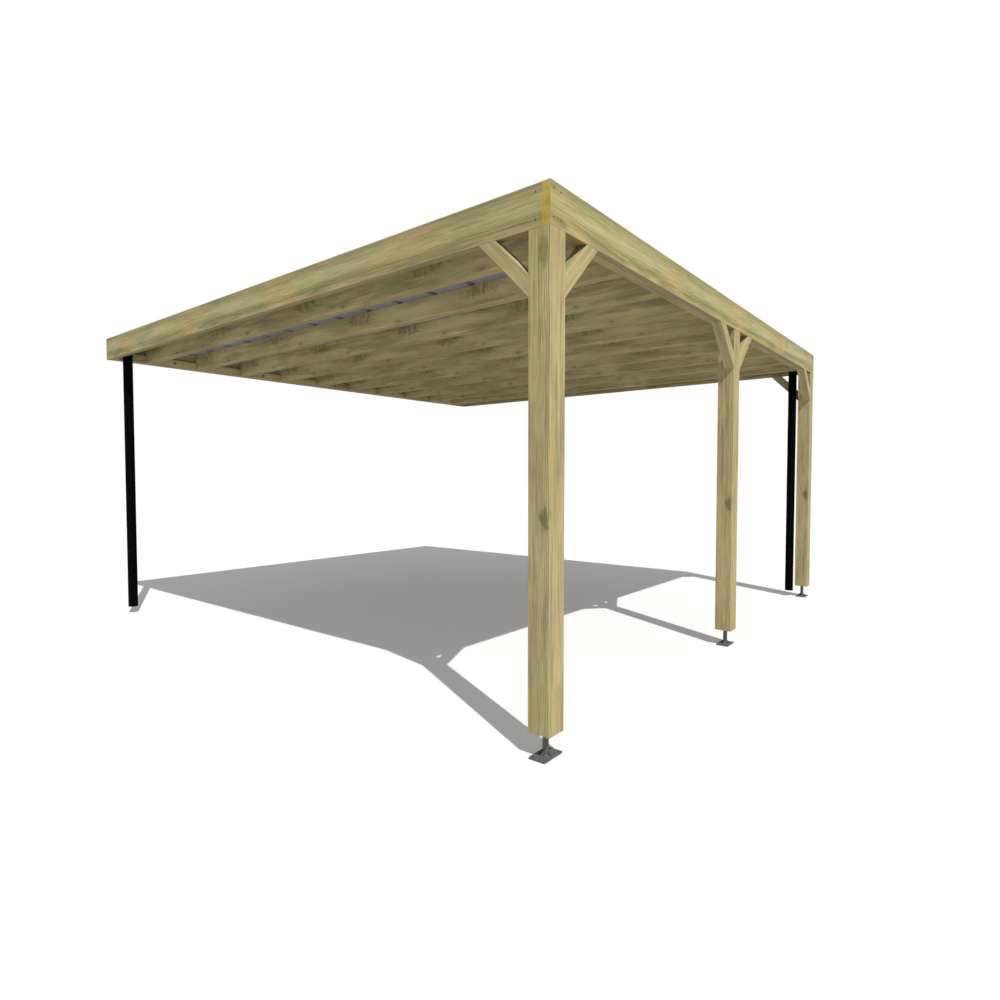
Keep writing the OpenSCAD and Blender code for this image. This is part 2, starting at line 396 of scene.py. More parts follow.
# %% [markdown]
# ## Marked knots and stains
#
# A few marks are not left to chance. "Marked knot" draws a soft, uneven oval at a stated
# place, for the marks that a buyer would notice: a knot halfway up a post and a stain near its
# top. It can also repeat along a board, since joists sawn from one log show their marks at
# the same spacing. A painted texture could do it too, but it would blur close up, while a
# calculated oval stays sharp at any distance. Noise added to the distance frays its edge, and
# the input "Fray" says by how much.

# %% Group: marked knot
def make_marked_knot():
    tree, given, out = new_group(
        "Marked knot",
        [("Grain", "Vector", None), ("Centre", "Vector", None),
         ("Reach", "Vector", (1.0, 1.0, 1.0)), ("Repeat", "Float", 9.0), ("Fray", "Float", 1.6)],
        [("Mark", "Float"), ("Ring", "Float")])
    away = vector_calc(tree, "SUBTRACT", given["Grain"], given["Centre"])
    parts = add_node(tree, "ShaderNodeSeparateXYZ", {"Vector": away}).outputs
    half_turn = calc(tree, "MULTIPLY", given["Repeat"], 0.5)
    near = calc(tree, "WRAP", parts["X"], half_turn, calc(tree, "MULTIPLY", half_turn, -1.0))
    away = add_node(tree, "ShaderNodeCombineXYZ", {"X": near, "Y": parts["Y"], "Z": parts["Z"]})
    away = vector_calc(tree, "LENGTH", vector_calc(tree, "DIVIDE", away.outputs[0], given["Reach"]))
    uneven = noise(tree, given["Grain"], (26, 60, 60), 3.0)
    fray = calc(tree, "MULTIPLY", calc(tree, "SUBTRACT", uneven, 0.5), given["Fray"])
    away = calc(tree, "ADD", away, fray)
    plug(tree, out["Mark"], fade(tree, away, 0.35, 1.0, 1.0, 0.0))
    plug(tree, out["Ring"], fade(tree, away, 0.6, 2.4, 1.0, 0.0))
    return tree


marked_knot = make_marked_knot()
print(marked_knot.name, "made with", len(marked_knot.nodes), "nodes")


# %% [markdown]
# ## Colours of treated pine
#
# Pressure treatment turns pine from yellow to a mix of straw, tan, grey and moss green. The
# salt soaks sapwood more than heartwood, so the colours lie in long bands, with a darker green
# stripe where the two meet. Each colour gets a name here, so that the layers below read like
# a recipe.

# %% Colours of treated pine
TAN = rgb(190, 162, 108)
ROSE = rgb(176, 154, 120)
MOSS = rgb(134, 138, 86)
KNOT = rgb(88, 78, 46)
# Not a colour of the wood: this is the colour of the painted shade under a board.
UNDERSIDE_SHADE = rgb(110, 94, 42)
BLOTCH = rgb(94, 90, 46)
STRAW = rgb(206, 196, 146)
PATCH_GAP = 1.2          # metres between the tan patches of a board
print("seven colours of treated pine, with a tan patch every", PATCH_GAP, "m")

# %% [markdown]
# ## Bands up a board
#
# Planks from one saw setting show nearly the same bands: a pale middle, a darker stripe low
# down and a duller top edge. A colour ramp over the height of the board gives them. A slow
# noise shifts the ramp up and down along the board, because no real band runs dead straight.

# %% Treated pine: bands up a board
def banded_colour(tree, given, rise, drift):
    rise = calc(tree, "ADD", rise, calc(tree, "MULTIPLY_ADD", drift, 0.16, -0.08))
    bands = colour_ramp(tree, rise, [
        (0.00, rgb(176, 160, 120)), (0.10, rgb(164, 152, 108)), (0.18, rgb(141, 135, 88)),
        (0.29, rgb(146, 143, 93)), (0.40, rgb(178, 172, 124)), (0.58, rgb(187, 178, 134)),
        (0.74, rgb(170, 161, 114)), (0.92, rgb(154, 149, 104))])
    return blend_colour(tree, given["Banding"], given["Plain colour"], bands)


print("bands run from the bottom edge of a board, 0, to its top edge, 1")

# %% [markdown]
# ## Patches along a board
#
# Where the trunk swelled at a whorl of branches, the treatment took differently, which leaves
# a tan patch every metre or so with a dull green one beside it. A cosine wave along the grain
# sets the spacing and clouds of noise break it up. Without the clouds the patches would look
# like stripes, and without the wave they would lie anywhere.

# %% Treated pine: patches along a board
def patched_colour(tree, given, colour, place, drift):
    clouds = noise(tree, place, (2.2, 13, 13), 4.0, 0.6)
    other = noise(tree, vector_calc(tree, "ADD", place, (7.0, 3.0, 5.0)), (1.7, 16, 16), 4.0, 0.6)
    along = add_node(tree, "ShaderNodeSeparateXYZ", {"Vector": given["Grain"]}).outputs["X"]
    along = calc(tree, "SUBTRACT", along, given["Patch start"])
    along = calc(tree, "ADD", along, calc(tree, "MULTIPLY_ADD", drift, 0.3, -0.15))
    turn = 2 * math.pi / PATCH_GAP
    tan_wave = calc(tree, "COSINE", calc(tree, "MULTIPLY", along, turn))
    green_wave = calc(tree, "SUBTRACT", along, given["Green offset"])
    green_wave = calc(tree, "COSINE", calc(tree, "MULTIPLY", green_wave, turn))
    patch = calc(tree, "MULTIPLY", fade(tree, tan_wave, 0.2, 1.0), fade(tree, clouds, 0.30, 0.60))
    colour = blend_colour(tree, calc(tree, "MULTIPLY", patch, given["Tan"]), colour, TAN)
    rosy = calc(tree, "MULTIPLY", fade(tree, other, 0.48, 0.66), given["Rose"])
    colour = blend_colour(tree, rosy, colour, ROSE)
    moss = calc(tree, "ADD", clouds, calc(tree, "MULTIPLY", green_wave, -0.07))
    moss = calc(tree, "MULTIPLY", fade(tree, moss, 0.52, 0.34), given["Green"])
    return blend_colour(tree, moss, colour, MOSS)


print("patches are tan, rose and moss, laid over each other in that order")

# %% [markdown]
# ## Light and dark of the grain
#
# Late in each summer a tree grows darker, denser wood, which shows as the growth lines. Between
# them lie finer streaks and fibres. All three only make the colour lighter or darker, so they
# are multiplied into one shade value, and the colour is multiplied by it once. Mixing in a
# brown instead would turn the green areas muddy.

# %% Treated pine: light and dark of the grain
def grained_colour(tree, given, colour, figure):
    pale = calc(tree, "MULTIPLY", fade(tree, figure["Streak"], 0.52, 0.72), 0.4)
    colour = blend_colour(tree, pale, colour, STRAW)
    shade = calc(tree, "MULTIPLY", figure["Growth line"], given["Lines"])
    shade = calc(tree, "SUBTRACT", 1.05, shade)
    dim = calc(tree, "MULTIPLY", fade(tree, figure["Streak"], 0.5, 0.3), given["Mottle"])
    shade = calc(tree, "MULTIPLY", shade, calc(tree, "SUBTRACT", 1.02, dim))
    shade = calc(tree, "MULTIPLY", shade, fade(tree, figure["Fibre"], 0.30, 0.70, 0.84, 1.13))
    shade = calc(tree, "MULTIPLY", shade, calc(tree, "SUBTRACT", 1.0,
                                               calc(tree, "MULTIPLY", figure["Swirl"], 0.12)))
    grey = add_node(tree, "ShaderNodeCombineColor", {"Red": shade, "Green": shade, "Blue": shade})
    return blend_colour(tree, 1.0, colour, grey.outputs[0], "MULTIPLY")


print("growth lines, streaks, fibres and swirls share one shade value")

# %% [markdown]
# ## Knots, stains, worn edges and painted shade underneath
#
# The last layers are what happens to one board and not to its neighbour. Knots are dark brown
# with a greener ring. A stain on a joist is barred across the grain, as if it had soaked in
# from a stacking lath in the yard, and the one on a post is softer. Edges are worn pale. The
# bottom face and a thin strip at the foot of each side are darkened as painted shade under the
# board. These layers come last, because a knot shows through every band and patch.

# %% Treated pine: knots, stains, worn edges and painted shade underneath
def marked_colour(tree, given, colour, place, figure, edges):
    colour = blend_colour(tree, calc(tree, "MULTIPLY", figure["Knot"], 0.8), colour, KNOT)
    knot = use_group(tree, marked_knot, {
        "Grain": given["Grain"], "Centre": given["Knot centre"], "Reach": given["Knot reach"],
        "Repeat": given["Knot repeat"]})
    blotch = use_group(tree, marked_knot, {
        "Grain": given["Grain"], "Centre": given["Blotch centre"],
        "Reach": given["Blotch reach"], "Repeat": given["Knot repeat"],
        "Fray": given["Blotch fray"]})
    colour = blend_colour(tree, calc(tree, "MULTIPLY", knot["Ring"], 0.2), colour, MOSS)
    strength = calc(tree, "MULTIPLY", knot["Mark"], given["Knot strength"])
    colour = blend_colour(tree, strength, colour, KNOT)
    bars = fade(tree, noise(tree, place, (46, 14, 14), 2.0), 0.40, 0.60)
    colour = blend_colour(tree, calc(tree, "MULTIPLY", blotch["Ring"], 0.14), colour, BLOTCH)
    gaps = calc(tree, "MULTIPLY", calc(tree, "SUBTRACT", 1.0, bars), given["Bars"])
    stain = calc(tree, "MULTIPLY", blotch["Mark"], calc(tree, "SUBTRACT", 1.0, gaps))
    stain = calc(tree, "MULTIPLY", stain, given["Blotch strength"])
    colour = blend_colour(tree, stain, colour, BLOTCH)
    worn = calc(tree, "MULTIPLY", edges["Edge"], given["Wear"])
    colour = blend_colour(tree, worn, colour, STRAW)
    # Painted shade: the bottom face and the lowest sliver of each side are darkened, as shade under
    # the board.
    low = calc(tree, "MULTIPLY", fade(tree, edges["Rise"], 0.0, 0.02, 1.0, 0.0), given["Damp"])
    return blend_colour(tree, low, colour, UNDERSIDE_SHADE)


print("marks are laid on in the order knots, stains, worn edges, painted shade underneath")

# %% [markdown]
# ## The treated pine group
#
# One group puts the layers together. Its named inputs are the choices that differ from one
# kind of timber to the next, with values that suit a plain board. It puts out the colour, the
# roughness and a height for the bump, and no shader: the surface itself is set up in each
# material, where gloss belongs.

# %% Group: treated pine
NOWHERE = (9.0, 9.0, 9.0)        # a mark this far off lies on no timber


def make_treated_pine():
    tree, given, out = new_group(
        "Treated pine",
        [("Grain", "Vector", None), ("Half size", "Vector", None), ("Board", "Float", 0.0),
         ("Plain colour", "Color", rgb(176, 163, 118)), ("Banding", "Float", 1.0),
         ("Tan", "Float", 0.55), ("Green", "Float", 0.42), ("Rose", "Float", 0.4),
         ("Patch start", "Float", 0.0), ("Green offset", "Float", 0.2),
         ("Lines", "Float", 0.22), ("Mottle", "Float", 0.22), ("Ring gap", "Float", 0.006),
         ("Heart", "Vector", (0.0, -0.05, -0.08)), ("Knottiness", "Float", 0.2),
         # The second input on the next line sets how strong the painted shade under a board is.
         ("Wear", "Float", 0.35), ("Damp", "Float", 0.5),
         ("Knot centre", "Vector", NOWHERE), ("Knot reach", "Vector", (0.062, 0.034, 0.05)),
         ("Knot strength", "Float", 0.65), ("Knot repeat", "Float", 9.0),
         ("Blotch centre", "Vector", NOWHERE), ("Blotch reach", "Vector", (0.075, 0.036, 0.05)),
         ("Blotch strength", "Float", 0.55), ("Blotch fray", "Float", 1.6),
         ("Bars", "Float", 0.65)],
        [("Colour", "Color"), ("Roughness", "Float"), ("Height", "Float")])
    figure = use_group(tree, pine_figure, {name: given[name] for name in
                                           ("Grain", "Board", "Ring gap", "Heart", "Knottiness")})
    edges = use_group(tree, board_edges, {"Grain": given["Grain"], "Half size": given["Half size"]})
    number = calc(tree, "MULTIPLY", given["Board"], 3.1)
    shift = add_node(tree, "ShaderNodeCombineXYZ", {"X": number})
    place = vector_calc(tree, "ADD", given["Grain"], shift.outputs[0])
    drift = noise(tree, place, (1.2, 4, 4), 3.0)
    colour = banded_colour(tree, given, edges["Rise"], drift)
    colour = patched_colour(tree, given, colour, place, drift)
    colour = grained_colour(tree, given, colour, figure)
    colour = marked_colour(tree, given, colour, place, figure, edges)
    plug(tree, out["Colour"], colour)
    plug(tree, out["Roughness"], fade(tree, figure["Fibre"], 0.2, 0.8, 0.58, 0.78))
    relief = calc(tree, "MULTIPLY_ADD", figure["Growth line"], 0.5,
                  calc(tree, "MULTIPLY", figure["Fibre"], 0.5))
    knots = calc(tree, "MULTIPLY", figure["Knot"], 0.4)
    plug(tree, out["Height"], calc(tree, "ADD", relief, knots))
    return tree


treated_pine = make_treated_pine()
print(treated_pine.name, "made with", len(treated_pine.nodes), "nodes")

# %% [markdown]
# ## A timber material
#
# All the timbers are one kind of wood, so their materials differ only in the values that they
# give the group. The shader itself stays in the material: a rough, faintly glossy surface with
# a bump of a fraction of a millimetre. Relief cut into the mesh would need millions of faces
# for something that nobody can see from a step away.

# %% Helpers: a timber material
TIMBER_GLOSS = 0.3       # sawn wood mirrors less than Blender's usual 0.5
RELIEF_STRENGTH = 0.6
RELIEF = 0.0008          # metres between the lowest fibre and the top of a growth line


def new_material(name):
    material = bpy.data.materials.new(name)
    material.use_nodes = True
    return material, material.node_tree, material.node_tree.nodes["Principled BSDF"].inputs


def add_bump(tree, shader, height, strength, distance):
    bump = add_node(tree, "ShaderNodeBump",
                    {"Height": height, "Strength": strength, "Distance": distance})
    plug(tree, shader["Normal"], bump.outputs[0])


def timber_material(name, **values):
    material, tree, shader = new_material(name)
    given = timber_sockets(tree)
    given.update({label.replace("_", " "): value for label, value in values.items()})
    pine = use_group(tree, treated_pine, given)
    plug(tree, shader["Base Color"], pine["Colour"])
    plug(tree, shader["Roughness"], pine["Roughness"])
    shader["Specular IOR Level"].default_value = TIMBER_GLOSS
    add_bump(tree, shader, pine["Height"], RELIEF_STRENGTH, RELIEF)
    return material


print("timber_material takes the group's inputs by name")

# %% [markdown]
# ## Outer boards
#
# The front board and the two side boards are planed and show the full bands, since the best
# boards go where they are seen. They have next to no knots. The side boards are turned end for
# end, so their green lies on the other side of each tan patch. A negative offset does that.

# %% Materials of the outer boards
# The outer boards keep the group's painted shade on their bottom faces.
front_board = timber_material("front_board", Lines=0.24, Knottiness=0.02)
side_board = timber_material("side_board", Lines=0.24, Knottiness=0.0, Patch_start=-0.42,
                             Green_offset=-0.2)
print("outer boards use", front_board.name, "and", side_board.name)

# %% [markdown]
# ## Joists and battens
#
# The roof timbers are plainer, rosier boards. Their plain colour is painted much lighter than
# the outer boards', as painted light that makes up for the shade under the roof. Their bottom
# edges are paler than their sides, and their bottom faces carry painted shade. Joists cut from
# one log show the same small knot and the same dull stain every so often, which is what "Knot
# repeat" is for. The wall board and the battens share everything except those marks, so the
# common values are kept once, in a dictionary.

# %% Materials of the joists and battens
# Painted light and shade: this plain colour is lighter than the outer boards' to make up for the
# shade under the roof, and the bottom faces are darkened as painted shade.
roof_timber = dict(Lines=0.16, Mottle=0.14, Knottiness=0.05, Tan=0.45, Green=0.5, Rose=0.85,
                   Banding=0.3, Damp=0.55, Plain_colour=rgb(221, 204, 150))
joist_board = timber_material("joist_board", **roof_timber, Knot_repeat=PATCH_GAP,
                              Knot_centre=(-0.65, -0.05, -0.03),
                              Knot_reach=(0.035, 0.015, 0.02), Knot_strength=0.4,
                              Blotch_centre=(-0.23, 0.035, -0.03),
                              Blotch_reach=(0.2, 0.06, 0.045), Blotch_strength=0.6)
batten_board = timber_material("batten_board", **roof_timber)
print("roof timbers use", joist_board.name, "and", batten_board.name)

# %% [markdown]
# ## Posts
#
# A post is sawn from nearer the heart of the tree, so its growth lines stand closer and
# stronger and run straight up. It has no bands. One knot a little below the middle and one
# soft stain near the top sit beside the front edge. Both are placed one by one, measured from
# the middle of the post: first along the grain, then across it in both directions.

# %% Material of the posts
upright_post = timber_material("upright_post", Banding=0.0, Damp=0.0, Lines=0.46,
                               Ring_gap=0.0042, Heart=(0.0, -0.11, -0.12), Knottiness=0.0,
                               Tan=0.45, Green=0.3, Rose=0.8, Mottle=0.36,
                               Plain_colour=rgb(192, 178, 130),
                               Knot_centre=(-0.244, -0.027, 0.06),
                               Knot_reach=(0.075, 0.034, 0.055),
                               Blotch_centre=(0.938, -0.024, 0.06),
                               Blotch_reach=(0.085, 0.038, 0.06), Blotch_strength=0.55,
                               Blotch_fray=0.5, Bars=0.2)
print("posts use", upright_post.name)

# %% [markdown]
# ## Knee braces
#
# The braces are cut from short offcuts. They are too short to show much banding or a whole
# patch, and they are handled more, so their edges are worn paler than those of the boards.

# %% Material of the braces
short_brace = timber_material("short_brace", Banding=0.2, Damp=0.0, Lines=0.24,
                              Knottiness=0.05, Tan=0.3, Rose=0.2, Wear=0.5,
                              Plain_colour=rgb(180, 172, 127))
print("braces use", short_brace.name)

# %% [markdown]
# ## Cut ends
#
# A saw cut across the grain opens the pores, which drink the treatment and turn a strong
# ochre. The same solid figure shows here as arcs of growth rings. Fine scratches from the saw
# teeth run across, so a second, narrow noise goes into the relief.

# %% Cut end material
END_RINGS = {"Ring gap": 0.006, "Heart": (0.0, -0.06, -0.05), "Knottiness": 0.0}
END_DARK, END_LIGHT = rgb(180, 152, 72), rgb(208, 182, 104)
END_LINE, END_SCRATCH = rgb(132, 106, 46), rgb(224, 203, 136)


def make_cut_end():
    material, tree, shader = new_material("cut_end")
    given = timber_sockets(tree)
    figure = use_group(tree, pine_figure, {"Grain": given["Grain"], "Board": given["Board"],
                                           **END_RINGS})
    scratches = noise(tree, given["Grain"], (40, 900, 30), 2.0)
    blotch = noise(tree, given["Grain"], (5, 26, 26), 3.0)
    colour = colour_ramp(tree, blotch, [(0.3, END_DARK), (0.7, END_LIGHT)])
    lines = calc(tree, "MULTIPLY", figure["Growth line"], 0.42)
    colour = blend_colour(tree, lines, colour, END_LINE)
    bright = fade(tree, scratches, 0.55, 0.8, 0.0, 0.3)
    colour = blend_colour(tree, bright, colour, END_SCRATCH)
    plug(tree, shader["Base Color"], colour)
    shader["Roughness"].default_value = 0.86
    shader["Specular IOR Level"].default_value = 0.2
    add_bump(tree, shader, calc(tree, "ADD", scratches, figure["Growth line"]), 0.5, 0.0006)
    return material


cut_end = make_cut_end()
print("cut ends use", cut_end.name)

# %% [markdown]
# ## Where the outer boards are screwed
#
# The outer boards are screwed to the posts, in two rows: one near the top edge and one near
# the bottom edge. The front board has two screws in each row at each post and a side board has
# one. A typed list of places would do, but these are measured from the boards and the posts,
# so they follow when a size changes.

# %% Screw places on the outer boards
ROWS = (0.036, 0.160)             # heights above a board's bottom edge
LEFT_COLUMNS = (0.0235, 0.0815)   # from the outer side of the left post
OTHER_COLUMNS = (0.031, 0.089)    # from one side of the other two posts
SIDE_COLUMN = 0.082               # from the front board's face to a side board's screws
CORNER = 0.5                      # a post this near to a board's end is a corner post

board_low, board_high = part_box("front_fascia")
heights = [board_low.z + row for row in ROWS]
front_spots = []
for name in ("post_left", "post_middle", "post_right"):
    low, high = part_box(name)
    for column in LEFT_COLUMNS if low.x < board_low.x + CORNER else OTHER_COLUMNS:
        x = high.x - column if high.x > board_high.x - CORNER else low.x + column
        front_spots += [Vector((x, board_low.y, z)) for z in heights]
side_y = board_low.y + SIDE_COLUMN
left_spots = [Vector((board_low.x, side_y, z)) for z in heights]
right_spots = [Vector((board_high.x, side_y, z)) for z in heights]
screw_spots = {"front_fascia": (front_spots, Vector((0, -1, 0))),
               "left_fascia": (left_spots, Vector((-1, 0, 0))),
               "right_fascia": (right_spots, Vector((1, 0, 0)))}
print("screws per board:", {name: len(spots) for name, (spots, _) in screw_spots.items()})

# %% [markdown]
# ## Rounded edges
#
# A CAD box has knife-sharp edges, and a knife-sharp edge catches no light. A planed timber has
# edges that a hand can slide along. Each CAD timber is copied, its flat triangles are merged
# back into whole faces, and its long edges are rounded with a small bevel. Modelling the
# timbers again from measurements would risk small errors in the notches and bolt holes, while
# a copy keeps them exactly.

# %% Helper: a rounded copy
ROUND = 0.0012                    # radius of a planed edge
SHORTEST = 0.02                   # shorter edges, such as those of bolt holes, stay sharp
SAME_POINT = 1e-5                 # corners this close together are one corner
SAME_FACE = math.radians(0.5)     # faces that meet at less than this are one face
SHARP = math.radians(30)          # edges that turn by more than this are rounded


def rounded_copy(node, name):
    """The mesh of a CAD piece with whole faces and rounded long edges."""
    mesh = bpy.data.meshes.new(name)
    bm = bmesh.new()
    bm.from_mesh(nodes[node].data)
    bmesh.ops.remove_doubles(bm, verts=bm.verts, dist=SAME_POINT)
    bmesh.ops.dissolve_limit(bm, angle_limit=SAME_FACE, verts=bm.verts, edges=bm.edges)
    sharp = [e for e in bm.edges if len(e.link_faces) == 2 and e.calc_length() > SHORTEST
             and e.calc_face_angle() > SHARP]
    bmesh.ops.bevel(bm, geom=sharp, offset=ROUND, segments=2, profile=0.6, affect="EDGES",
                    clamp_overlap=True)
    bm.to_mesh(mesh)
    bm.free()
    return mesh


print("planed edges are rounded by", ROUND * 1000, "mm")

# %% [markdown]
# ## Pockets for the screws
#
# A driver sinks a screw's head just below the face, so each screw needs a shallow round
# pocket. A boolean cut makes them: short cylinders stand where the screws go and are taken
# away from the board. Bump alone would look flat from the side, and a head standing proud
# would be wrong for a countersunk screw. The helper for a short cylinder comes first, because
# the screws and bolts further down use it too.

# %% Helper: a short cylinder
def add_disc(bm, centre, outward, radius, depth, sides):
    """A short cylinder whose outer face lies at the centre point."""
    turn = outward.to_track_quat("Z", "Y").to_matrix().to_4x4()
    place = Matrix.Translation(centre - outward * depth / 2) @ turn
    return bmesh.ops.create_cone(bm, cap_ends=True, segments=sides, radius1=radius,
                                 radius2=radius, depth=depth, matrix=place)["verts"]


print("add_disc puts a short cylinder into a mesh")

# %% [markdown]
# The cylinders reach as far out of the board as they reach into it. If one ended exactly at
# the face, the boolean could not tell what lies inside. The modifier works on objects, so two
# are made for the cut and taken away again afterwards.

# %% Helper: cut the pockets
POCKET_RADIUS = 0.0055
POCKET_DEPTH = 0.0022
POCKET_SIDES = 20


def cut_pockets(mesh, spots, outward):
    """The same mesh with a round pocket at each spot, cut by a boolean modifier."""
    cutters = bmesh.new()
    for spot in spots:
        add_disc(cutters, spot + outward * POCKET_DEPTH, outward, POCKET_RADIUS,
                 2 * POCKET_DEPTH, POCKET_SIDES)
    tool_mesh = bpy.data.meshes.new("pocket_tool")
    cutters.to_mesh(tool_mesh)
    cutters.free()
    tool = bpy.data.objects.new("pocket_tool", tool_mesh)
    target = bpy.data.objects.new("pocket_target", mesh)
    for thing in (tool, target):
        bpy.context.scene.collection.objects.link(thing)
    cut = target.modifiers.new("pockets", "BOOLEAN")
    cut.object, cut.operation, cut.solver = tool, "DIFFERENCE", "EXACT"
    bpy.context.view_layer.update()
    seen = target.evaluated_get(bpy.context.evaluated_depsgraph_get())
    result = bpy.data.meshes.new_from_object(seen)
    for thing in (tool, target):
        bpy.data.objects.remove(thing)
    bpy.data.meshes.remove(tool_mesh)
    bpy.data.meshes.remove(mesh)
    return result


print("pockets are", POCKET_DEPTH * 1000, "mm deep")

# %% [markdown]
# ## Write the grain into the mesh
#
# Now the copy gets the three attributes that the materials read. `along` is the direction of
# the grain, `up` is the direction across the wide face, and every corner is measured from the
# middle of its timber. Faces that look along the grain are cut ends, so they get the second
# material. A face counts as an end when it turns well away from the sides, which includes the
# slanted ends of the braces.

# %% Helper: grain attributes
END_FACING = 0.6                  # 1 looks straight along the grain, 0 looks to the side


def fill_attribute(mesh, name, kind, field, numbers):
    """One attribute is made and filled at a time: a new one may move the others in memory."""
    mesh.attributes.new(name, kind, "POINT").data.foreach_set(field, numbers)


def write_grain(mesh, number, along, up):
    through = along.cross(up)
    for face in mesh.polygons:
        face.material_index = 1 if abs(face.normal.dot(along)) > END_FACING else 0
    places = [(v.co.dot(along), v.co.dot(up), v.co.dot(through)) for v in mesh.vertices]
    low = [min(p[i] for p in places) for i in range(3)]
    high = [max(p[i] for p in places) for i in range(3)]
    half = [(b - a) / 2 for a, b in zip(low, high)]
    centre = [(a + b) / 2 for a, b in zip(low, high)]
    grain = [p - c for place in places for p, c in zip(place, centre)]
    fill_attribute(mesh, "grain", "FLOAT_VECTOR", "vector", grain)
    fill_attribute(mesh, "half_size", "FLOAT_VECTOR", "vector", half * len(places))
    fill_attribute(mesh, "board", "FLOAT", "value", [float(number)] * len(places))


print("faces within", round(math.degrees(math.acos(END_FACING))), "degrees of the grain are ends")

# %% [markdown]
# ## Make one timber
#
# The helpers come together here.

# %% Helper: make one timber
def make_timber(node, number, along, up, material, slot):
    name = node + "_timber"
    mesh = rounded_copy(node, name)
    if node in screw_spots:
        mesh = cut_pockets(mesh, *screw_spots[node])
        mesh.name = name
    mesh.materials.clear()
    write_grain(mesh, number, Vector(along).normalized(), Vector(up).normalized())
    mesh.materials.append(material)
    mesh.materials.append(cut_end)
    piece = bpy.data.objects.new(name, mesh)
    bpy.context.scene.collection.objects.link(piece)
    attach(piece, "root")
    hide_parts(node)
    return piece


print("make_timber is ready for", sum(not n.startswith(("roof_", "gutter_", "foot_", "downpipe_"))
                                     for n in nodes), "timbers")

# %% [markdown]
# ## All the timbers
#
# Now every timber is made from its CAD piece. The boards and joists lie flat with their wide
# faces upright, the posts stand, and the braces lean at 45 degrees, left or right of a post.
# Each line says which way the grain runs, which way is up across it, the material and the
# slot. A timber's place in the list is also its number, which keeps any two from looking alike.

# %% All the timbers
X, Y, Z = (1, 0, 0), (0, 1, 0), (0, 0, 1)
timbers = [("front_fascia", X, Z, front_board, "fascia_timber")]
timbers += [(n, Y, Z, side_board, "fascia_timber") for n in ("left_fascia", "right_fascia")]
timbers += [(n, X, Z, batten_board, "joist_timber") for n in
            ("wall_board", "front_batten_left", "front_batten_right", "wall_batten")]
timbers += [(f"joist_{i:02d}", Y, Z, joist_board, "joist_timber") for i in range(1, 11)]
timbers += [(n, Z, Y, upright_post, "post_timber") for n in
            ("post_left", "post_middle", "post_right")]
timbers += [(n, (1, 0, 1), (-1, 0, 1), short_brace, "brace_timber") for n in
            ("brace_left_front", "brace_middle_right")]
timbers += [(n, (-1, 0, 1), (1, 0, 1), short_brace, "brace_timber") for n in
            ("brace_right_front", "brace_middle_left")]
timbers += [(n, (0, 1, 1), (0, -1, 1), short_brace, "brace_timber") for n in
            ("brace_left_side", "brace_right_side")]
made = [make_timber(node, number, *rest) for number, (node, *rest) in enumerate(timbers)]
print("timbers made:", len(made), "faces:", sum(len(o.data.polygons) for o in made))

# %% [markdown]
# ## Settled dust
#
# Dust and thin dirt lie on everything that stands outdoors. Dust settles where a surface faces
# up, in uneven patches, and grime runs down upright faces in streaks. Metal and plastic both
# need it, so it is a group. It puts out two masks, and each material decides what colour lies
# under them.

# %% Group: dust
DUST = rgb(150, 144, 128)
GRIME = rgb(60, 60, 56)


def make_dust():
    tree, given, out = new_group(
        "Settled dust", [("Amount", "Float", 0.5)], [("Dust", "Float"), ("Grime", "Float")])
    place = add_node(tree, "ShaderNodeTexCoord").outputs["Object"]
    facing = add_node(tree, "ShaderNodeNewGeometry").outputs["Normal"]
    up = fade(tree, vector_calc(tree, "DOT_PRODUCT", facing, (0.0, 0.0, 1.0)), 0.2, 1.0)
    patches = noise(tree, place, (0.9, 1.6, 1.6), 5.0, 0.6)
    dust = calc(tree, "MULTIPLY", calc(tree, "MULTIPLY", up, fade(tree, patches, 0.30, 0.80)),
                given["Amount"])
    plug(tree, out["Dust"], dust)
    streaks = fade(tree, noise(tree, place, (9, 9, 1.5), 4.0), 0.45, 0.85)
    plug(tree, out["Grime"], calc(tree, "MULTIPLY", streaks, given["Amount"]))
    return tree


settled_dust = make_dust()
print(settled_dust.name, "made with", len(settled_dust.nodes), "nodes")

# %% [markdown]
# ## A metal or plastic material
#
# Galvanised steel shows spangle: flat crystals a few millimetres across that each catch the
# light a little differently. A Voronoi texture splits the surface into such cells and gives
# each one its own shade between two colours. Paint and plastic use the same helper with two
# colours that lie close together, so their cells hardly show. Dust makes any of them rougher.

# %% Helper: a metal or plastic material
def metal_material(name, base, light, metallic, rough, dust, spangle):
    material, tree, shader = new_material(name)
    place = add_node(tree, "ShaderNodeTexCoord").outputs["Object"]
    crystals = add_node(tree, "ShaderNodeTexVoronoi",
                        {"Vector": place, "Scale": 1 / spangle}).outputs["Color"]
    tone = add_node(tree, "ShaderNodeSeparateColor", {"Color": crystals}).outputs["Red"]
    colour = colour_ramp(tree, tone, [(0.0, base), (1.0, light)])
    fallen = use_group(tree, settled_dust, {"Amount": dust})
    colour = blend_colour(tree, fallen["Dust"], colour, DUST)
    colour = blend_colour(tree, calc(tree, "MULTIPLY", fallen["Grime"], 0.5), colour, GRIME)
    plug(tree, shader["Base Color"], colour)
    uneven = fade(tree, noise(tree, place, (60, 60, 60), 3.0), 0.3, 0.7,
                  rough - 0.06, rough + 0.08)
    plug(tree, shader["Roughness"], calc(tree, "ADD", uneven,
                                         calc(tree, "MULTIPLY", fallen["Dust"], 0.2)))
    shader["Metallic"].default_value = metallic
    add_bump(tree, shader, noise(tree, place, (220, 220, 220), 2.0), 0.15, 0.0004)
    return material


print("metal_material serves steel, paint and plastic")

# %% [markdown]
# ## Roof paint, gutter zinc, foot zinc and pipe plastic
#
# The roof sheet is coated in a blue-grey paint that hides the spangle. The gutters are bright
# new zinc. The feet are dipped in thicker zinc, which dulls to a dark grey, so they are only
# partly metallic here: a fully metallic grey would mirror the pale floor and look too bright.
# The pipes are matt black plastic that hardly mirrors anything.

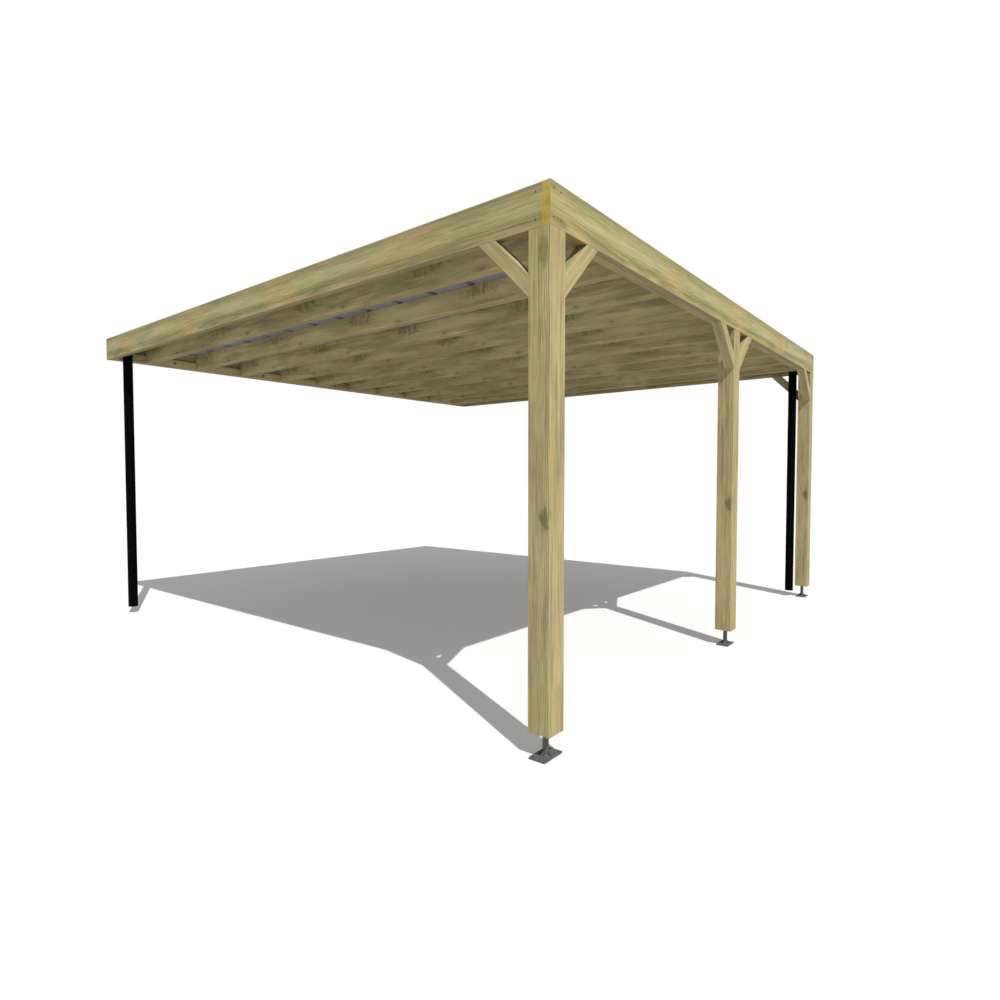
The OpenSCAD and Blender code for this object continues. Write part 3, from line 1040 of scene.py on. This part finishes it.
# %% Materials of the CAD pieces
PIPE_GLOSS = 0.04
roof_paint = metal_material("roof_paint", rgb(134, 136, 148), rgb(144, 146, 158),
                            metallic=0.0, rough=0.42, dust=0.22, spangle=0.004)
gutter_zinc = metal_material("gutter_zinc", rgb(150, 154, 158), rgb(178, 182, 186),
                             metallic=0.55, rough=0.45, dust=0.5, spangle=0.012)
foot_zinc = metal_material("foot_zinc", rgb(86, 92, 92), rgb(112, 118, 118),
                           metallic=0.35, rough=0.5, dust=0.25, spangle=0.006)
pipe_plastic = metal_material("pipe_plastic", rgb(1, 1, 1), rgb(4, 4, 4),
                              metallic=0.0, rough=0.6, dust=0.01, spangle=0.02)
pipe_shader = pipe_plastic.node_tree.nodes["Principled BSDF"].inputs
pipe_shader["Specular IOR Level"].default_value = PIPE_GLOSS
print("materials:", [m.name for m in (roof_paint, gutter_zinc, foot_zinc, pipe_plastic)])

# %% [markdown]
# ## Put the materials on the CAD pieces
#
# The sheets, gutters, feet and pipes keep their CAD shapes. Folded steel and moulded pipe have
# no wide edge to round, so a copy would add nothing. Their names start with what they are,
# which lets four lines dress them all.

# %% Put the materials on the CAD pieces
dressed = {"roof_sheet_": roof_paint, "gutter_": gutter_zinc, "foot_": foot_zinc,
           "downpipe_": pipe_plastic}
for start, material in dressed.items():
    names = [n for n in nodes if n.startswith(start)]
    for name in names:
        slots = nodes[name].data.materials
        slots.clear()
        slots.append(material)
    print(material.name, "on", names)

# %% [markdown]
# ## Fixings
#
# The fixings are small, but a builder looks for them first. There are four kinds:
#
# * countersunk screws in the pockets of the outer boards, each with a recess for the driver,
# * hexagon bolts with washers that hold the wall board and its batten to the wall,
# * a weld bead around the rod of each foot,
# * and roof screws with a sealing washer, in the valleys of the sheets.
#
# Every kind is one mesh with many copies in it, since nobody takes a single screw away. One
# object per screw would be easier to move, but it would make the list of pieces hard to read.

# %% Helper: place the fixings
def place_fixings(name, bm, material):
    mesh = bpy.data.meshes.new(name)
    bm.to_mesh(mesh)
    bm.free()
    mesh.materials.append(material)
    piece = bpy.data.objects.new(name, mesh)
    bpy.context.scene.collection.objects.link(piece)
    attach(piece, "root")
    print(name, "has", len(mesh.polygons), "faces")


screw_zinc = metal_material("screw_zinc", rgb(96, 88, 68), rgb(124, 114, 90),
                            metallic=0.4, rough=0.45, dust=0.1, spangle=0.01)
bolt_zinc = metal_material("bolt_zinc", rgb(120, 122, 122), rgb(150, 152, 152),
                           metallic=0.7, rough=0.42, dust=0.2, spangle=0.006)
print("fixings use", screw_zinc.name, "and", bolt_zinc.name)

# %% [markdown]
# ## Countersunk screws
#
# Only the head of each screw shows, as a small disc at the bottom of its pocket. The recess
# for the driver is made by insetting the top face and pushing the inner part down. It comes
# out round. A real one is square or a star, which nobody could tell on a head this small. The
# thread underneath would never be seen, so it is left out.

# %% Fixings: countersunk screws
HEAD_RADIUS = 0.0050
HEAD_THICKNESS = 0.0014
HEAD_SIDES = 20
SINK = 0.0006                     # how far a head lies below the face of its board
RECESS_RADIUS = 0.00204
RECESS_DEPTH = 0.0009

for board, (spots, outward) in screw_spots.items():
    bm = bmesh.new()
    for spot in spots:
        verts = add_disc(bm, spot - outward * SINK, outward, HEAD_RADIUS, HEAD_THICKNESS,
                         HEAD_SIDES)
        face = max((f for v in verts for f in v.link_faces),
                   key=lambda f: f.normal.dot(outward) * f.calc_area())
        bmesh.ops.inset_region(bm, faces=[face], thickness=HEAD_RADIUS - RECESS_RADIUS)
        bmesh.ops.translate(bm, verts=face.verts, vec=-outward * RECESS_DEPTH)
    place_fixings(board + "_screws", bm, screw_zinc)

# %% [markdown]
# ## A bolt with a hexagon head
#
# A bolt head is a six-sided prism on a round washer, and its top corners are slightly bevelled
# where the forging die closed. One function makes both the wall bolts and the roof screws from
# a dictionary of sizes. The width across the flats is what a spanner is sold by, while a prism
# is made by the distance to its corners, hence the square root of three.

# %% Helper: a bolt with a hexagon head
WASHER_SIDES, SHANK_SIDES = 24, 16
WALL_BOLT = {"across": 0.018, "head": 0.0075, "washer": 0.014, "washer_t": 0.0025,
             "shank": 0.0055}
ROOF_SCREW = {"across": 0.008, "head": 0.0045, "washer": 0.008, "washer_t": 0.0015,
              "shank": 0.0024}


def hex_bolt(bm, seat, outward, size, length):
    """A bolt head on a washer, its seat on a face, with a shank down the hole."""
    thick, head = size["washer_t"], size["head"]
    add_disc(bm, seat + outward * thick, outward, size["washer"], thick, WASHER_SIDES)
    verts = add_disc(bm, seat + outward * (thick + head), outward,
                     size["across"] / math.sqrt(3), head, 6)
    top = [e for v in verts for e in v.link_edges
           if all((w.co - seat).dot(outward) > thick + head * 0.9 for w in e.verts)]
    bmesh.ops.bevel(bm, geom=list(set(top)), offset=head * 0.12, segments=2, affect="EDGES")
    add_disc(bm, seat, outward, size["shank"], length, SHANK_SIDES)


print("spanner sizes:", WALL_BOLT["across"] * 1000, "and", ROOF_SCREW["across"] * 1000, "mm")

# %% [markdown]
# ## Wall bolts
#
# Ten bolts hold the back of the roof to the wall. The part's record already says where their
# holes are, as mounts with a middle and a spacing, so the bolts take their places from there.
# Typing the places again would leave two lists that can drift apart. A bolt that goes through
# the batten has its seat on the batten's face. A higher one has it on the wall board.

# %% Fixings: wall bolts
SHORT_OF_WALL = 0.0005            # a shank ends just inside the board's back face
batten_low, batten_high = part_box("wall_batten")
wall_low, wall_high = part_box("wall_board")
patterns = [m for m in frame["record"]["mounts"] if m["name"].startswith("wall_bolts_")]
bolt_places = []
for pattern in patterns:
    middle = Vector(pattern["pos_m"])
    half_x = pattern["dims"].get("spacing_x_mm", 0.0) / 2000
    half_z = pattern["dims"]["spacing_y_mm"] / 2000
    bolt_places += [(middle.x + x, middle.z + z) for x in sorted({-half_x, half_x})
                    for z in (-half_z, half_z)]
bm = bmesh.new()
for x, z in bolt_places:
    face_y = batten_low.y if z < batten_high.z else wall_low.y
    hex_bolt(bm, Vector((x, face_y, z)), Vector((0, -1, 0)), WALL_BOLT,
             wall_high.y - face_y - SHORT_OF_WALL)
print("bolt holes found in the record:", len(bolt_places))
place_fixings("wall_bolts", bm, bolt_zinc)

# %% [markdown]
# ## Weld beads
#
# Each foot's rod is welded to its base plate. A hand-laid bead swells and narrows as the
# welder moves along it. A ring of small circles is laid around the rod and the size of the
# circles follows a sine wave, which gives that ripple. A plain torus would look machined.

# %% Fixings: weld beads
PLATE = 0.008                     # thickness of a base plate
ROD = 0.015                       # radius of a foot's rod
BEAD, RIPPLE = 0.0026, 0.0004     # radius of the bead and how much it swells
RIPPLES = 17                      # swellings in one turn
AROUND, ACROSS = 48, 8            # corners along the bead and around it

beads = bmesh.new()
for name in ("foot_left", "foot_middle", "foot_right"):
    low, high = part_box(name)
    middle = (low + high) / 2
    ring = []
    for step in range(AROUND):
        turn = step / AROUND * 2 * math.pi
        swell = BEAD + RIPPLE * math.sin(turn * RIPPLES)
        ring.append([beads.verts.new((middle.x + (ROD + swell * math.cos(a)) * math.cos(turn),
                                      middle.y + (ROD + swell * math.cos(a)) * math.sin(turn),
                                      low.z + PLATE + swell * math.sin(a)))
                     for a in (k / ACROSS * 2 * math.pi for k in range(ACROSS))])
    for step, row in enumerate(ring):
        following = ring[(step + 1) % AROUND]
        for k in range(ACROSS):
            after = (k + 1) % ACROSS
            beads.faces.new((row[k], following[k], following[after], row[after]))
for face in beads.faces:
    face.smooth = True
place_fixings("foot_welds", beads, foot_zinc)

# %% [markdown]
# ## Roof screws
#
# The sheets are screwed down through their valleys, where the steel lies flat on the joists,
# one screw over every third joist. Screws through the ribs would stay out of the water, but
# they pull a rib flat unless a spacer lies under it. The ribs lie at even distances between
# the front board and the wall board, so the valleys are worked out from those two.

# %% Fixings: roof screws
SHEET_T = 0.002
SCREW_LENGTH = 0.03
RIBS = 15
RIB_EDGE = 0.068                  # from the boards to the middle of the outermost ribs
JOISTS, EVERY = 10, 3

sheets = [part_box(f"roof_sheet_{i}") for i in range(1, 6)]
pan = sheets[0][0].z + SHEET_T
first_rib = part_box("left_fascia")[0].y + RIB_EDGE
rib_pitch = (wall_low.y - RIB_EDGE - first_rib) / (RIBS - 1)
joist_first, joist_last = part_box("joist_01"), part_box("joist_10")
pitch = (joist_last[0] - joist_first[0]).x / (JOISTS - 1)
half_joist = (joist_first[1] - joist_first[0]).x / 2
bm = bmesh.new()
for valley in range(RIBS - 1):
    y = first_rib + (valley + 0.5) * rib_pitch
    for number in range(0, JOISTS, EVERY):
        x = joist_first[0].x + half_joist + number * pitch
        hex_bolt(bm, Vector((x, y, pan)), Vector((0, 0, 1)), ROOF_SCREW, SCREW_LENGTH)
print("sheets:", len(sheets), "valleys:", RIBS - 1, "a rib every", round(rib_pitch, 3), "m")
place_fixings("roof_screws", bm, bolt_zinc)

# %% [markdown]
# ## Light
#
# The light is a plain studio set-up: one hard sun from the front left, high enough to leave the
# underside of the roof in shade, and an even pale surround that fills the shadows. The surround
# looks white behind the carport but gives less light than that, because a fully white one
# would leave no shade at all. A Light Path node tells the camera's rays from the others.

# %% Light
SUN_TRAVEL = Vector((0.318, 0.655, -1.0))
SUN_STRENGTH = 3.9
SUN_COLOUR = (1.0, 0.975, 0.92)
SUN_WIDTH = math.radians(0.5)     # about as wide as the real sun, for crisp shadow edges
SURROUND = 0.33
WHITE = (1.0, 1.0, 1.0, 1.0)

sun_data = bpy.data.lights.new("sun", "SUN")
sun_data.energy = SUN_STRENGTH
sun_data.color = SUN_COLOUR
sun_data.angle = SUN_WIDTH
sun = bpy.data.objects.new("sun", sun_data)
sun.rotation_euler = SUN_TRAVEL.to_track_quat("-Z", "Y").to_euler()
bpy.context.scene.collection.objects.link(sun)

world = bpy.data.worlds.new("surround")
bpy.context.scene.world = world
world.use_nodes = True
sky = world.node_tree
backdrop = sky.nodes["Background"]
rays = add_node(sky, "ShaderNodeLightPath").outputs["Is Camera Ray"]
plug(sky, backdrop.inputs["Color"], WHITE)
plug(sky, backdrop.inputs["Strength"], fade(sky, rays, 0.0, 1.0, SURROUND, 1.0))
print("sun of strength", SUN_STRENGTH, "and surround of strength", SURROUND)

# %% [markdown]
# ## Floor
#
# The floor is a plain pale plane that reaches past every edge of the view. In the sun it looks
# white. The light that it throws back onto the timber is held lower, since a white floor would
# wash out every shadow under the roof. A faint glow, for the camera only, lifts the shadow that
# the carport throws.

# %% Floor
FLOOR_REACH = 60.0
FLOOR_LIGHT = (0.58, 0.58, 0.58, 1.0)
FLOOR_LOOK = (0.71, 0.715, 0.72, 1.0)
FLOOR_GLOW = 0.14                 # lifts the shadow on the floor for the camera only

corners = [(-FLOOR_REACH, -FLOOR_REACH, ground), (FLOOR_REACH, -FLOOR_REACH, ground),
           (FLOOR_REACH, FLOOR_REACH, ground), (-FLOOR_REACH, FLOOR_REACH, ground)]
floor_mesh = bpy.data.meshes.new("floor")
floor_mesh.from_pydata(corners, [], [(0, 1, 2, 3)])
floor = bpy.data.objects.new("floor", floor_mesh)
bpy.context.scene.collection.objects.link(floor)
floor_material, floor_tree, floor_shader = new_material("pale_floor")
seen = add_node(floor_tree, "ShaderNodeLightPath").outputs["Is Camera Ray"]
plug(floor_tree, floor_shader["Base Color"],
     blend_colour(floor_tree, seen, FLOOR_LIGHT, FLOOR_LOOK))
floor_shader["Emission Color"].default_value = WHITE
plug(floor_tree, floor_shader["Emission Strength"],
     calc(floor_tree, "MULTIPLY", seen, FLOOR_GLOW))
floor_shader["Roughness"].default_value = 0.9
floor_shader["Specular IOR Level"].default_value = 0.1
floor_mesh.materials.append(floor_material)
print("the floor lies at z =", round(ground, 4))
